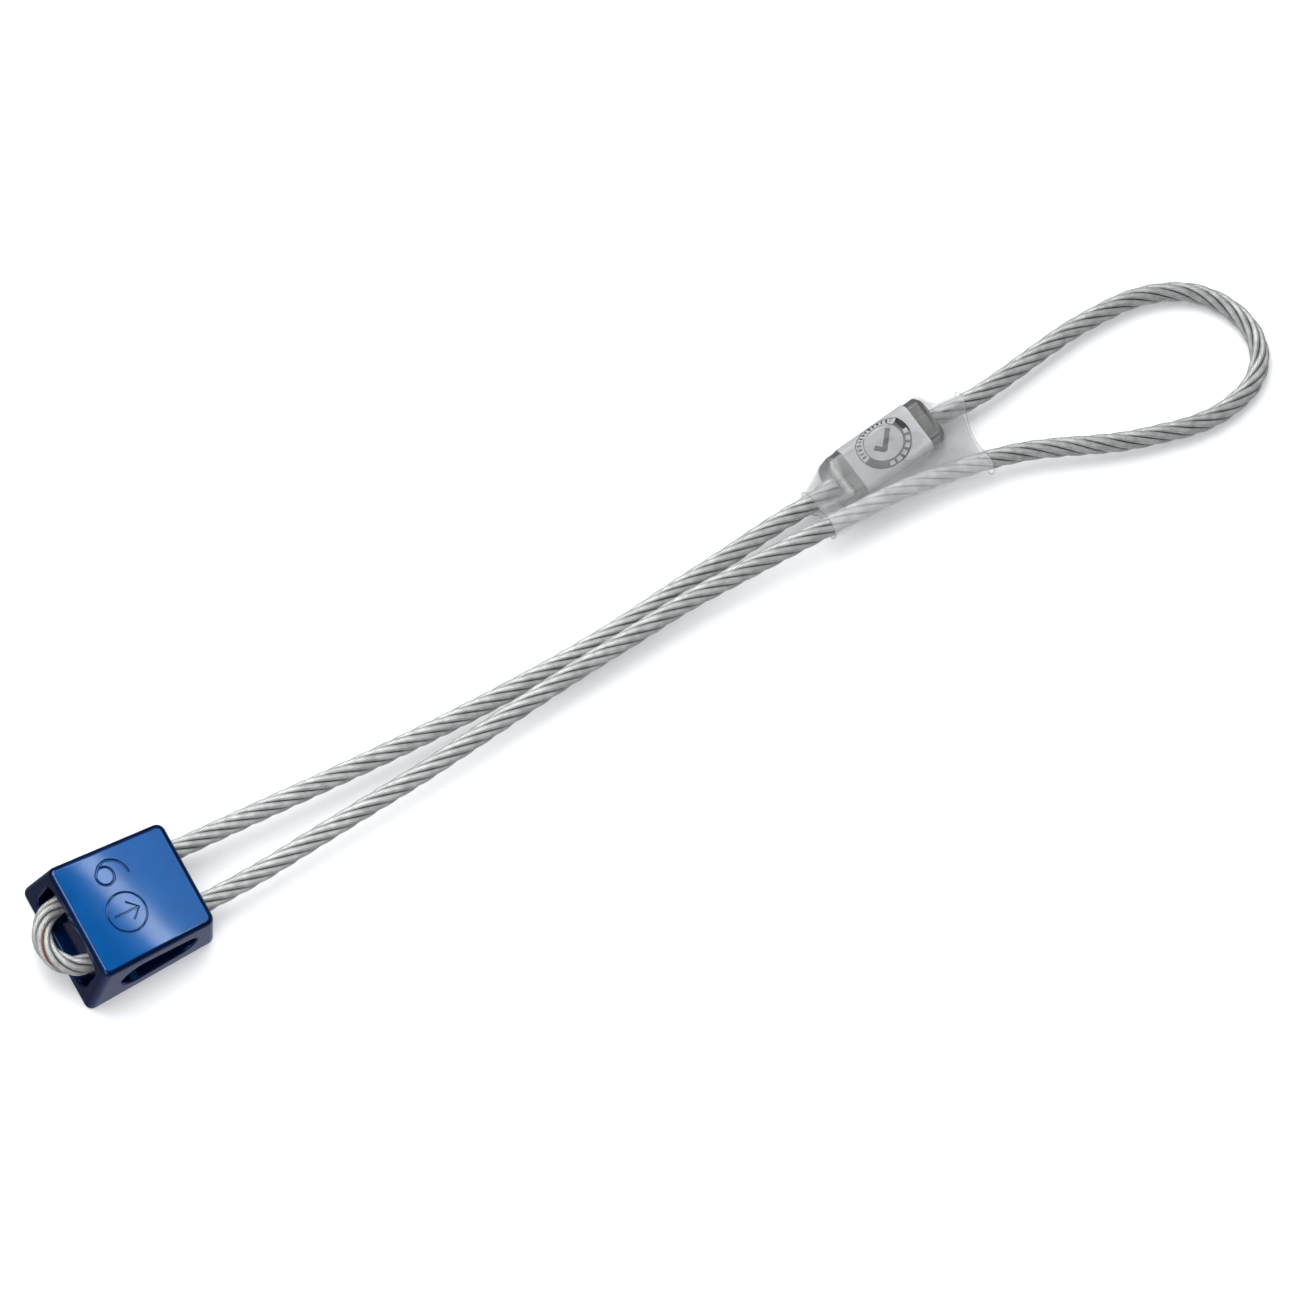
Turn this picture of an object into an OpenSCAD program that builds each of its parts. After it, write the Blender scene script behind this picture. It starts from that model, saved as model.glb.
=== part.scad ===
// A wired climbing nut: a tapered aluminium head on a sling of stranded wire rope.
// The rope runs from the pressed ferrule along the upper leg, through the head, round the bight,
// back along the lower leg, past the ferrule, round the clip loop and into the ferrule again.
// Millimetres. The origin is the middle of the head's back face, +X points from the head to the
// clip loop, and +Z points up from the surface that the nut lies on.

/* [Head] */
// Length of the back face, along the sling
head_back_len = 22.5; // [18:0.5:26]
// Length of the front face, along the sling
head_front_len = 19.5; // [16:0.5:22]
// Width of the back face at the thick end
head_back_w = 21; // [18:0.5:25]
// Width of the back face at the cable end
head_back_w_end = 18.8; // [16:0.2:22]
// How far each long side leans in between the back face and the front face
head_side_lean = 1.2; // [0.4:0.1:2]
// Thickness at the thick end
head_thick = 13.6; // [12.4:0.2:17]
// Thickness at the cable end
head_thin = 11; // [10:0.2:12.4]
// Bevel round the front face
face_bevel = 0.7; // [0.2:0.1:1.2]
// Bevel on the upright corners
corner_bevel = 1.1; // [0.2:0.1:2]
// Wall between the side window and the broad faces
window_wall = 3.2; // [2.4:0.1:3.6]
// Wall between the side window and the cable end
window_end_wall = 3.4; // [2.4:0.1:5]
// Length of the side window
window_len = 13.2; // [9:0.2:14]
// Length of the end pocket, across the head
pocket_w = 14.8; // [13.6:0.2:16.4]
// Height of the end pocket
pocket_h = 9; // [6:0.2:9.6]
// Depth of the end pocket
pocket_depth = 2.2; // [1:0.1:2.6]
// Gap all round between the rope and its holes in the head
hole_clearance = 0.5; // [0.3:0.1:0.8]

/* [Wire rope] */
// Diameter of the rope
rope_d = 3.2; // [2.4:0.1:3.3]
// Length of rope in which an outer strand goes once round
rope_lay = 21.6; // [18:0.2:27]
// Gap between neighbouring strands, before they are bent
strand_gap = 0.13; // [0.1:0.01:0.2]
// Diameter of the marker yarn
yarn_d = 0.3; // [0.2:0.05:0.35]

/* [Ferrule] */
// Length of the pressed ferrule
ferrule_len = 19; // [14:0.2:22.8]
// Width of the ferrule, across the sling
ferrule_w = 8.2; // [7:0.2:9]
// Thickness of the ferrule
ferrule_thick = 6.4; // [5.6:0.2:7.6]
// Bevel along the ferrule
ferrule_bevel = 1.1; // [0.6:0.1:1.8]
// Bevel at the ferrule's ends
ferrule_end_bevel = 0.8; // [0.6:0.1:2.4]
// Gap between the rope and the ferrule's bore
bore_clearance = 0.05; // [0.02:0.01:0.1]
// Gap between the two rope ends that meet in the ferrule
butt_gap = 1; // [0.4:0.1:2]

/* [Label and sleeve] */
// Length of the printed label
label_len = 13; // [8:0.5:13]
// Thickness of the label film
label_t = 0.12; // [0.08:0.01:0.2]
// Wall of the clear shrink sleeve
sleeve_wall = 0.35; // [0.25:0.05:0.5]
// Gap between films that lie on each other
film_gap = 0.04; // [0.02:0.01:0.1]
// How far the sleeve reaches past the ferrule towards the head
sleeve_reach = 4.5; // [3:0.5:6]
// How far the sleeve reaches past the ferrule towards the clip loop
sleeve_reach_clip = 6; // [3:0.5:7]

/* [Hidden] */
$fn = 48;
PIECES = ["chock_head", "core_strand", "ferrule", "label", "shrink_sleeve", "marker_yarn"];
OUTER_STRANDS = 6;

big = 60;

// --- the rope's route -------------------------------------------------------------------------
// Where the rope enters the head's cable end, and where it turns into the bight
leg_in = [12, 4.5, 5.8];
leg_turn = [-8.9, 4.9, 6.3];
// Middle of the ferrule, as high as its sleeve lifts it, and the direction of its axis in plan
sleeve_margin = 2 * film_gap + label_t;
ferrule_at = [139.9, 10.9, ferrule_thick / 2 + sleeve_margin + sleeve_wall];
ferrule_turn = 8;
ferrule_dir = [cos(ferrule_turn), sin(ferrule_turn), 0];

function mirrored(p) = [p[0], -p[1], p[2]];

upper_leg = [
    [126, 8.9, 4], [120, 8.4, 4.1], [110, 7.2, 4.2], [100, 6.1, 4.3], [90, 4.9, 4.3],
    [80, 4.1, 4.3], [70, 3.7, 4.4], [60, 3.5, 4.6], [50, 3.5, 4.9], [40, 3.7, 5.1],
    [30, 4, 5.4], [20, 4.3, 5.6]
];
bight = [
    for (turn = [30:30:150])
        [leg_turn[0] - leg_turn[1] * sin(turn), leg_turn[1] * cos(turn), leg_turn[2]]
];
lower_leg = [
    [20, -4.2, 5.7], [30, -3.4, 5.9], [40, -2.6, 6.1], [50, -1.8, 6.3], [60, -0.7, 6.5],
    [70, 0.5, 6.7], [80, 1.6, 6.7], [90, 2.5, 6.7], [100, 3.4, 6.7], [110, 3.7, 6.6],
    [120, 3.9, 6.7], [126, 4, 6.7], [132, 4.1, 6.6], [138, 4.1, 6.2], [145, 3.7, 5.3],
    [151, 3, 4.6]
];
clip_loop = [
    [156, 2.2, 4.3], [161, 1, 4.1], [166, -0.7, 3.9], [171, -2.6, 3.6], [176, -4.3, 3.3],
    [181.5, -5.6, 3], [186.5, -6.6, 2.7], [191.5, -6.9, 2.4], [195.7, -6.3, 2.2], [199.8, -4.7, 2],
    [202.8, -1.8, 1.9], [203.8, 1.5, 1.9], [203.4, 5.1, 1.9], [201.6, 8.7, 2], [198.3, 12, 2.2],
    [193.7, 14.2, 2.4], [188.7, 15.3, 2.7], [182.5, 15.4, 3], [176.4, 15, 3.3], [170.3, 14.1, 3.6],
    [164.2, 13.1, 3.8], [158, 12.3, 3.9], [153, 12.2, 3.8]
];

function on_ferrule(along) = ferrule_at + along * ferrule_dir;

mouth = ferrule_len / 2;
route = concat(
    [on_ferrule(-butt_gap / 2), on_ferrule(-mouth / 2), on_ferrule(-mouth)],
    upper_leg,
    [leg_in, leg_turn],
    bight,
    [mirrored(leg_turn), mirrored(leg_in)],
    lower_leg,
    clip_loop,
    [on_ferrule(mouth), on_ferrule(mouth / 2), on_ferrule(butt_gap / 2)]
);
last = len(route) - 1;

// Smooth curve through the route's points: the slope at a point comes from its two neighbours.
function gap_after(i) = norm(route[i + 1] - route[i]);
function slope(i) =
    i == 0 ? (route[1] - route[0]) / gap_after(0)
    : i == last ? (route[last] - route[last - 1]) / gap_after(last - 1)
    : let (before = gap_after(i - 1), after = gap_after(i))
        ((route[i] - route[i - 1]) / before * after + (route[i + 1] - route[i]) / after * before)
        / (before + after);
function curve_point(i, t) =
    let (d = gap_after(i))
    (2 * pow(t, 3) - 3 * pow(t, 2) + 1) * route[i] + (pow(t, 3) - 2 * pow(t, 2) + t) * d * slope(i)
    + (3 * pow(t, 2) - 2 * pow(t, 3)) * route[i + 1] + (pow(t, 3) - pow(t, 2)) * d * slope(i + 1);

// Points along the curve, about one step apart
function sampled(step) = concat(
    [for (i = [0:last - 1]) let (n = max(1, round(gap_after(i) / step)))
        for (j = [0:n - 1]) curve_point(i, j / n)],
    [route[last]]
);
function lengths(line) =
    let (n = len(line))
    [for (i = 0, s = 0; i < n; s = s + (i + 1 < n ? norm(line[i + 1] - line[i]) : 0), i = i + 1) s];
function unit(v) = v / norm(v);
function direction(line, i) = unit(line[min(i + 1, len(line) - 1)] - line[max(i - 1, 0)]);
function side_of(dir) = unit(cross([0, 0, 1], dir));

// Rings of points round a strand that winds round the curve at a distance
function strand_rings(line, at, distance, radius, sides, phase) = [
    for (i = [0:len(line) - 1])
        let (
            dir = direction(line, i),
            across = side_of(dir),
            up = cross(dir, across),
            turn = phase + 360 * at[i] / rope_lay,
            out = cos(turn) * across + sin(turn) * up,
            round = cos(turn) * up - sin(turn) * across,
            lean = 2 * PI * distance / rope_lay,
            along = unit(dir + lean * round),
            flank = cross(along, out)
        )
        [for (a = [0:sides - 1])
            line[i] + distance * out
            + radius * (cos(360 * a / sides) * out + sin(360 * a / sides) * flank)]
];

module tube(rings) {
    n = len(rings[0]);
    m = len(rings);
    polyhedron(
        points = [for (ring = rings) each ring],
        faces = concat(
            [[for (a = [0:n - 1]) a]],
            [for (i = [0:m - 2]) for (a = [0:n - 1])
                let (b = (a + 1) % n, low = i * n, high = low + n)
                each [[low + a, high + a, high + b], [low + a, high + b, low + b]]],
            [[for (a = [n - 1:-1:0]) (m - 1) * n + a]]
        )
    );
}

// --- the rope ---------------------------------------------------------------------------------
strand_d = rope_d / 3;
strand_step = rope_lay / 8;
core_step = 5.8;
strand_sides = 6;
core_sides = 8;

module core_strand() {
    line = sampled(core_step);
    color("gray")
        tube(strand_rings(line, lengths(line), 0, (strand_d - strand_gap / 2) / 2, core_sides, 0));
}

module outer_strand(k) {
    line = sampled(strand_step);
    color("darkgray")
        tube(strand_rings(line, lengths(line), strand_d, (strand_d - strand_gap) / 2, strand_sides,
            360 * k / OUTER_STRANDS));
}

// The yarn lies in the groove between two outer strands, round the bight only.
module marker_yarn() {
    line = sampled(strand_step);
    at = lengths(line);
    bight_part = [for (i = [0:len(line) - 1]) if (line[i][0] < leg_turn[0] - 0.5) i];
    groove = strand_d * cos(180 / OUTER_STRANDS) + strand_d / 2;
    yarn_phase = 180 / OUTER_STRANDS;
    rings = strand_rings(line, at, groove, yarn_d / 2, strand_sides, yarn_phase);
    color("firebrick") tube([for (i = bight_part) rings[i]]);
}

// --- the head ---------------------------------------------------------------------------------
head_mid_w = (head_back_w + head_back_w_end) / 2;
plan_taper = atan((head_back_w - head_back_w_end) / 2 / head_back_len);
side_lean = atan(head_side_lean / head_thick);
end_lean = (head_back_len - head_front_len) / 2;
face_slope = atan((head_thick - head_thin) / head_front_len);
face_mid_z = (head_thick + head_thin) / 2;
leg_dir = leg_in - leg_turn;
leg_pan = atan2(leg_dir[1], leg_dir[0]);
leg_pitch = atan2(leg_dir[2], norm([leg_dir[0], leg_dir[1]]));

// A block that cuts a bevel off an edge along X whose two faces look along +Y and +Z
module edge_block(bevel) {
    rotate([-45, 0, 0])
        translate([-big / 2, -big / 2, -bevel / sqrt(2)])
            cube(big);
}

module wedge() {
    side_profile = [
        [-head_back_len / 2, 0], [head_back_len / 2, 0],
        [head_front_len / 2, head_thin], [-head_front_len / 2, head_thick]
    ];
    difference() {
        translate([0, big / 2, 0])
            rotate([90, 0, 0])
                linear_extrude(big) polygon(side_profile);
        for (side = [0, 1]) mirror([0, side, 0]) {
            translate([0, head_mid_w / 2, 0])
                rotate([0, 0, -plan_taper])
                    rotate([side_lean, 0, 0])
                        translate([-big / 2, 0, -big / 2]) cube(big);
            translate([0, head_mid_w / 2 - head_side_lean * face_mid_z / head_thick, face_mid_z])
                rotate([0, face_slope, 0])
                    rotate([0, 0, -plan_taper])
                        edge_block(face_bevel);
            translate([-head_back_len / 2, head_back_w / 2, 0])
                rotate([side_lean, atan(end_lean / head_thick), 0])
                    rotate([0, -90, 0]) edge_block(corner_bevel);
            translate([head_back_len / 2, head_back_w_end / 2, 0])
                rotate([side_lean, -atan(end_lean / head_thin), 0])
                    rotate([0, 90, 0]) edge_block(corner_bevel);
        }
        translate([-head_front_len / 2, 0, head_thick])
            rotate([0, 0, 90]) edge_block(face_bevel);
        translate([head_front_len / 2, 0, head_thin])
            rotate([0, 0, -90]) edge_block(face_bevel);
    }
}

// Two circles with the straight sides that touch both
module tapered_slot(from, to, r_from, r_to) {
    run = to - from;
    length = norm(run);
    tilt = atan2(run[1], run[0]);
    touch = acos((r_from - r_to) / length);
    translate(from) circle(r_from);
    translate(to) circle(r_to);
    polygon([
        for (s = [-1, 1]) from + r_from * [cos(tilt + s * touch), sin(tilt + s * touch)],
        for (s = [1, -1]) to + r_to * [cos(tilt + s * touch), sin(tilt + s * touch)]
    ]);
}

// Thickness of the head at a place along it
function thickness(x) = face_mid_z - x * tan(face_slope);

module window() {
    end_x = (head_front_len + end_lean) / 2 - window_end_wall;
    start_x = end_x - window_len;
    r_end = thickness(end_x) / 2 - window_wall;
    r_start = thickness(start_x) / 2 - window_wall;
    x_end = end_x - r_end;
    x_start = start_x + r_start;
    translate([0, big / 2, 0])
        rotate([90, 0, 0])
            linear_extrude(big)
                tapered_slot([x_start, thickness(x_start) / 2], [x_end, thickness(x_end) / 2],
                    r_start, r_end);
}

module pocket() {
    end_x = -(head_front_len + end_lean) / 2;
    corner_r = 2;
    middle_z = head_thick / 2;
    translate([end_x + pocket_depth, 0, middle_z])
        rotate([0, -90, 0])
            linear_extrude(big)
                union() {
                    square([pocket_h, pocket_w - 2 * corner_r], center = true);
                    square([pocket_h - 2 * corner_r, pocket_w], center = true);
                    for (i = [-1, 1], j = [-1, 1])
                        translate([i * (pocket_h / 2 - corner_r), j * (pocket_w / 2 - corner_r)])
                            circle(corner_r);
                }
}

module leg_hole() {
    translate(leg_in)
        rotate([0, 0, leg_pan])
            rotate([0, 90 - leg_pitch, 0])
                cylinder(h = big, r = rope_d / 2 + hole_clearance, center = true);
}

module chock_head() {
    color("royalblue")
        difference() {
            wedge();
            window();
            pocket();
            for (side = [0, 1]) mirror([0, side, 0]) leg_hole();
        }
}

// --- the ferrule, its label and the shrink sleeve -----------------------------------------------
// Outline with bevelled corners
module bevelled(a, b, cut_a, cut_b) {
    polygon([
        for (q = [[1, 1], [-1, 1], [-1, -1], [1, -1]])
            let (
                near = [q[0] * a / 2, q[1] * (b / 2 - cut_b)],
                far = [q[0] * (a / 2 - cut_a), q[1] * b / 2]
            )
            each (q[0] * q[1] > 0 ? [near, far] : [far, near])
    ]);
}

// The ferrule's cross-section swept along it, larger all round by a margin
module ferrule_bar(length, margin) {
    rotate([90, 0, 90])
        linear_extrude(length, center = true)
            bevelled(ferrule_w + 2 * margin, ferrule_thick + 2 * margin, ferrule_bevel, ferrule_bevel);
}

module at_ferrule() {
    translate(ferrule_at) rotate([0, 0, ferrule_turn]) children();
}

module ferrule() {
    color("lightgray")
        at_ferrule()
            difference() {
                intersection() {
                    ferrule_bar(ferrule_len, 0);
                    linear_extrude(big, center = true)
                        bevelled(ferrule_len, ferrule_w, ferrule_end_bevel, ferrule_end_bevel);
                    rotate([90, 0, 0])
                        linear_extrude(big, center = true)
                            bevelled(ferrule_len, ferrule_thick, ferrule_end_bevel / 2,
                                ferrule_end_bevel / 2);
                }
                rotate([0, 90, 0])
                    cylinder(h = big, r = rope_d / 2 + bore_clearance, center = true);
            }
}

module label() {
    color("white")
        at_ferrule()
            difference() {
                ferrule_bar(label_len, film_gap + label_t);
                ferrule_bar(label_len + 1, film_gap);
            }
}

// The space that the sleeve closes round: the ferrule, the leg beside it and both legs at its ends
sleeve_sides = 24;
sleeve_ends = [-mouth - sleeve_reach, mouth + sleeve_reach_clip];
module sleeve_space(margin, past) {
    rope_r = rope_d / 2 + margin;
    ends = [sleeve_ends[0] - past, sleeve_ends[1] + past];
    hull() {
        at_ferrule() {
            ferrule_bar(ferrule_len - ferrule_end_bevel, margin);
            for (end = ends)
                translate([end, 0, 0])
                    rotate([0, 90, 0]) cylinder(h = 0.1, r = rope_r, center = true, $fn = sleeve_sides);
        }
        for (place = leg_beside(ends))
            translate(place) rotate([0, 90, 0]) cylinder(h = 0.1, r = rope_r, $fn = sleeve_sides);
    }
}
// Where the lower leg is at the sleeve's two ends and beside the ferrule's thick end
low_run = concat(lower_leg, [clip_loop[0], clip_loop[1]]);
function low_at(x) = [for (axis = [0:2]) lookup(x, [for (p = low_run) [p[0], p[axis]]])];
function leg_beside(ends) = [
    [ferrule_at[0] + ends[0], 4, 6.7], [ferrule_at[0] - mouth / 2, 4.1, 6.4],
    low_at(ferrule_at[0] + ends[1])
];

module shrink_sleeve() {
    color("whitesmoke", 0.5)
        difference() {
            sleeve_space(sleeve_margin + sleeve_wall, 0);
            sleeve_space(sleeve_margin, 1);
        }
}

chock_head();
core_strand();
ferrule();
label();
shrink_sleeve();
marker_yarn();
for (k = [1:OUTER_STRANDS])
    outer_strand(k);
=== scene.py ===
"""A wired climbing nut: an anodised head on a sling of stranded wire rope.

The rope starts in the pressed ferrule, runs to the head, round the bight and back, past the ferrule,
round the clip loop and into the ferrule again. Everything is in metres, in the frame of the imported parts.
"""

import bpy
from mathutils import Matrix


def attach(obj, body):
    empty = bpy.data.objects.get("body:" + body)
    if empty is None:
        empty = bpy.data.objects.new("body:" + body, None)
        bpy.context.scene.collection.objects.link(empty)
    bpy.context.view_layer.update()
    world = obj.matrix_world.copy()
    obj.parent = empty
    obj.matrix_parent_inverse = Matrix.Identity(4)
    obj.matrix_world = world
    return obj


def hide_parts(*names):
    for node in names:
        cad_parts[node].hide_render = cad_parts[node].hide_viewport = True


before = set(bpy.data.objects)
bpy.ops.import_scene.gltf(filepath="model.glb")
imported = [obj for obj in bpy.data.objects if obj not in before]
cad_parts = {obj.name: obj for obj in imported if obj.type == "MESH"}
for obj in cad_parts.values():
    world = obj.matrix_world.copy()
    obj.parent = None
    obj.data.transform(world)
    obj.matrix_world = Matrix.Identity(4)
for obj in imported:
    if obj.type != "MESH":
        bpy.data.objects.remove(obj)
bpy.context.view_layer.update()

import math

import bmesh
import bpy
import numpy as np
from mathutils import Matrix, Quaternion, Vector

bl_info = {
    "name": "Wired Nut",
    "version": (1, 0, 0),
    "blender": (4, 5, 0),
    "location": "3D View > Sidebar > Wired Nut",
    "description": "Builds a wired climbing nut around its packed parts",
    "category": "Object",
}

MM = 0.001

# --- the rope's route, in millimetres, from one end in the ferrule to the other ---

LEG_IN = (12, 4.5, 5.8)
LEG_TURN = (-8.9, 4.9, 6.3)
BIGHT_TURNS = range(30, 151, 30)
UPPER_LEG = [
    (126, 8.9, 4), (120, 8.4, 4.1), (110, 7.2, 4.2), (100, 6.1, 4.3), (90, 4.9, 4.3), (80, 4.1, 4.3),
    (70, 3.7, 4.4), (60, 3.5, 4.6), (50, 3.5, 4.9), (40, 3.7, 5.1), (30, 4, 5.4), (20, 4.3, 5.6),
]
LOWER_LEG = [
    (20, -4.2, 5.7), (30, -3.4, 5.9), (40, -2.6, 6.1), (50, -1.8, 6.3), (60, -0.7, 6.5), (70, 0.5, 6.7),
    (80, 1.6, 6.7), (90, 2.5, 6.7), (100, 3.4, 6.7), (110, 3.7, 6.6), (120, 3.9, 6.7), (126, 4, 6.7),
    (132, 4.1, 6.6), (138, 4.1, 6.2), (145, 3.7, 5.3), (151, 3, 4.6),
]
CLIP_LOOP = [
    (156, 2.2, 4.3), (161, 1, 4.1), (166, -0.7, 3.9), (171, -2.6, 3.6), (176, -4.3, 3.3), (181.5, -5.6, 3),
    (186.5, -6.6, 2.7), (191.5, -6.9, 2.4), (195.7, -6.3, 2.2), (199.8, -4.7, 2), (202.8, -1.8, 1.9),
    (203.8, 1.5, 1.9), (203.4, 5.1, 1.9), (201.6, 8.7, 2), (198.3, 12, 2.2), (193.7, 14.2, 2.4),
    (188.7, 15.3, 2.7), (182.5, 15.4, 3), (176.4, 15, 3.3), (170.3, 14.1, 3.6), (164.2, 13.1, 3.8),
    (158, 12.3, 3.9), (153, 12.2, 3.8),
]
FERRULE_AT = Vector((139.9, 10.9, 3.75))
FERRULE_TURN = math.radians(8)
FERRULE_DIRECTION = Vector((math.cos(FERRULE_TURN), math.sin(FERRULE_TURN), 0))
FERRULE_MOUTH = 9.5
ROPE_END = 0.5


def on_ferrule(along):
    return tuple(FERRULE_AT + along * FERRULE_DIRECTION)


def mirrored(point):
    return (point[0], -point[1], point[2])


def bight():
    turns = [math.radians(t) for t in BIGHT_TURNS]
    reach = LEG_TURN[1]
    return [(LEG_TURN[0] - reach * math.sin(t), reach * math.cos(t), LEG_TURN[2]) for t in turns]


def rope_route():
    """The points that the rope's middle passes through, in millimetres."""
    return np.array(
        [on_ferrule(-ROPE_END), on_ferrule(-FERRULE_MOUTH / 2), on_ferrule(-FERRULE_MOUTH)]
        + UPPER_LEG
        + [LEG_IN, LEG_TURN]
        + bight()
        + [mirrored(LEG_TURN), mirrored(LEG_IN)]
        + LOWER_LEG
        + CLIP_LOOP
        + [on_ferrule(FERRULE_MOUTH), on_ferrule(FERRULE_MOUTH / 2), on_ferrule(ROPE_END)]
    )


def smooth_line(route, step):
    """Points about a step apart on the smooth curve through the route."""
    gaps = np.linalg.norm(np.diff(route, axis=0), axis=1)
    chords = np.diff(route, axis=0) / gaps[:, None]
    inner = [
        (chords[i - 1] * gaps[i] + chords[i] * gaps[i - 1]) / (gaps[i - 1] + gaps[i])
        for i in range(1, len(gaps))
    ]
    slopes = [chords[0], *inner, chords[-1]]
    line = []
    for i, gap in enumerate(gaps):
        count = max(1, round(gap / step))
        t = (np.arange(count) / count)[:, None]
        line.append(
            (2 * t**3 - 3 * t**2 + 1) * route[i]
            + (t**3 - 2 * t**2 + t) * gap * slopes[i]
            + (3 * t**2 - 2 * t**3) * route[i + 1]
            + (t**3 - t**2) * gap * slopes[i + 1]
        )
    return np.concatenate([*line, route[-1:]])


def distances(line):
    """How far along a line each of its points lies."""
    return np.concatenate([[0], np.cumsum(np.linalg.norm(np.diff(line, axis=0), axis=1))])


LINE = smooth_line(rope_route(), 0.6)
ALONG = distances(LINE)


# --- sizes and colours -------------------------------------


def length(name, description, millimetres):
    return bpy.props.FloatProperty(
        name=name, description=description, default=millimetres * MM, unit="LENGTH", precision=5
    )


def colour(name, description, red, green, blue):
    return bpy.props.FloatVectorProperty(
        name=name, description=description, default=(red, green, blue), subtype="COLOR", min=0, max=1
    )


class HeadSizes(bpy.types.PropertyGroup):
    back_length: length("Back length", "Length of the back face along the sling", 22.5)
    front_length: length("Front length", "Length of the front face along the sling", 19.5)
    back_width: length("Back width", "Width of the back face at the thick end", 21)
    back_width_end: length("Back width, cable end", "Width of the back face at the cable end", 18.8)
    side_lean: length("Side lean", "How far each long side leans in over its height", 1.2)
    thick: length("Thick end", "Thickness at the thick end", 13.6)
    thin: length("Thin end", "Thickness at the cable end", 11)
    rim_round: length("Rim rounding", "Rounding of the edges round the front face", 0.75)
    corner_round: length("Corner rounding", "Rounding of the upright corners", 1.25)
    groove: length("Groove", "Width of the engraved lines", 0.48)
    blue: colour("Anodised blue", "Colour of the anodised metal", 0.0012, 0.073, 0.262)


class RopeSizes(bpy.types.PropertyGroup):
    diameter: length("Rope diameter", "Diameter of the whole rope", 3.2)
    lay: length("Lay", "Length of rope in which an outer strand goes once round", 21.6)
    wire_lay: length("Wire lay", "Length of strand in which a wire goes once round", 8.7)
    strand: length("Strand diameter", "Diameter of one outer strand", 0.98)
    yarn: length("Yarn diameter", "Diameter of the marker yarn", 0.28)
    zinc: colour("Zinc", "Colour of the galvanised wires", 0.505, 0.52, 0.51)
    red: colour("Yarn red", "Colour of the marker yarn", 0.16, 0.03, 0.018)


class FerruleSizes(bpy.types.PropertyGroup):
    length: length("Ferrule length", "Length of the pressed ferrule", 19)
    width: length("Ferrule width", "Width of the ferrule across the sling", 8.2)
    thick: length("Ferrule thickness", "Thickness of the ferrule", 6.4)
    bevel: length("Ferrule bevel", "Bevel along the ferrule", 1.1)
    end_bevel: length("End bevel", "Length of the taper at the ferrule's ends", 0.8)
    bore: length("Bore", "Diameter of the ferrule's bore", 3.3)
    label_length: length("Label length", "Length of the printed label", 13)
    film: length("Film", "Thickness of the label film", 0.12)
    sleeve_wall: length("Sleeve wall", "Wall of the clear shrink sleeve", 0.3)
    metal: colour("Ferrule metal", "Colour of the pressed metal", 0.26, 0.26, 0.252)
    paper: colour("Label film", "Colour of the label", 0.445, 0.453, 0.463)
    ink: colour("Ink", "Colour of the label's print", 0.012, 0.012, 0.014)


class StageSizes(bpy.types.PropertyGroup):
    floor: length("Floor", "Length of the floor's sides", 4000)
    lens: bpy.props.FloatProperty(
        name="Lens", description="Focal length of the camera", default=260, min=1, unit="CAMERA"
    )


# --- modelling helpers -------------------------------------


def sizes(name):
    return getattr(bpy.context.scene, "wired_nut_" + name)


def deselect():
    if bpy.context.object and bpy.context.object.mode != "OBJECT":
        bpy.ops.object.mode_set(mode="OBJECT")
    bpy.ops.object.select_all(action="DESELECT")


def only(obj):
    """Makes an object the only selected one, and the active one."""
    deselect()
    obj.select_set(True)
    bpy.context.view_layer.objects.active = obj
    return obj


def named(name):
    obj = bpy.context.object
    obj.name = obj.data.name = name
    return obj


def edit():
    bpy.ops.object.mode_set(mode="EDIT")


def leave():
    bpy.ops.object.mode_set(mode="OBJECT")


def pick(kind, test):
    """Selects the vertices, edges or faces of the mesh being edited that pass a test."""
    bpy.context.tool_settings.mesh_select_mode = [kind == k for k in ("verts", "edges", "faces")]
    bpy.ops.mesh.select_all(action="DESELECT")
    mesh = bmesh.from_edit_mesh(bpy.context.object.data)
    for part in getattr(mesh, kind):
        part.select_set(bool(test(part)))
    mesh.select_flush_mode()
    bmesh.update_edit_mesh(bpy.context.object.data)


def middle(edge):
    return (edge.verts[0].co + edge.verts[1].co) / 2


def round_edges(offset, segments, profile=0.5):
    bpy.ops.mesh.bevel(
        offset=offset, offset_type="OFFSET", segments=segments, profile=profile, affect="EDGES"
    )


def settle(obj):
    """Applies the object's place, turn and scale to its mesh."""
    only(obj)
    bpy.ops.object.transform_apply(location=True, rotation=True, scale=True)
    return obj


def apply_modifier(obj, kind, **values):
    only(obj)
    modifier = obj.modifiers.new(kind.title(), kind)
    for key, value in values.items():
        setattr(modifier, key, value)
    bpy.ops.object.modifier_apply(modifier=modifier.name)
    return obj


def cut(obj, *cutters):
    """Cuts the cutters out of an object and removes them."""
    for cutter in cutters:
        apply_modifier(obj, "BOOLEAN", operation="DIFFERENCE", solver="EXACT", object=cutter)
        bpy.data.objects.remove(cutter)
    return obj


def outward(obj):
    only(obj)
    edit()
    bpy.ops.mesh.select_all(action="SELECT")
    bpy.ops.mesh.remove_doubles(threshold=0.5e-6)
    bpy.ops.mesh.normals_make_consistent(inside=False)
    leave()
    return obj


def smooth(obj, degrees=32):
    only(obj)
    bpy.ops.object.shade_smooth_by_angle(angle=math.radians(degrees))
    apply_modifier(obj, "WEIGHTED_NORMAL", keep_sharp=True)
    return obj


def mesh_piece(name, points, faces):
    """A mesh made from points in metres."""
    mesh = bpy.data.meshes.new(name)
    mesh.from_pydata([tuple(p) for p in points], [], [tuple(f) for f in faces])
    obj = bpy.data.objects.new(name, mesh)
    bpy.context.scene.collection.objects.link(obj)
    return obj


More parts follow.
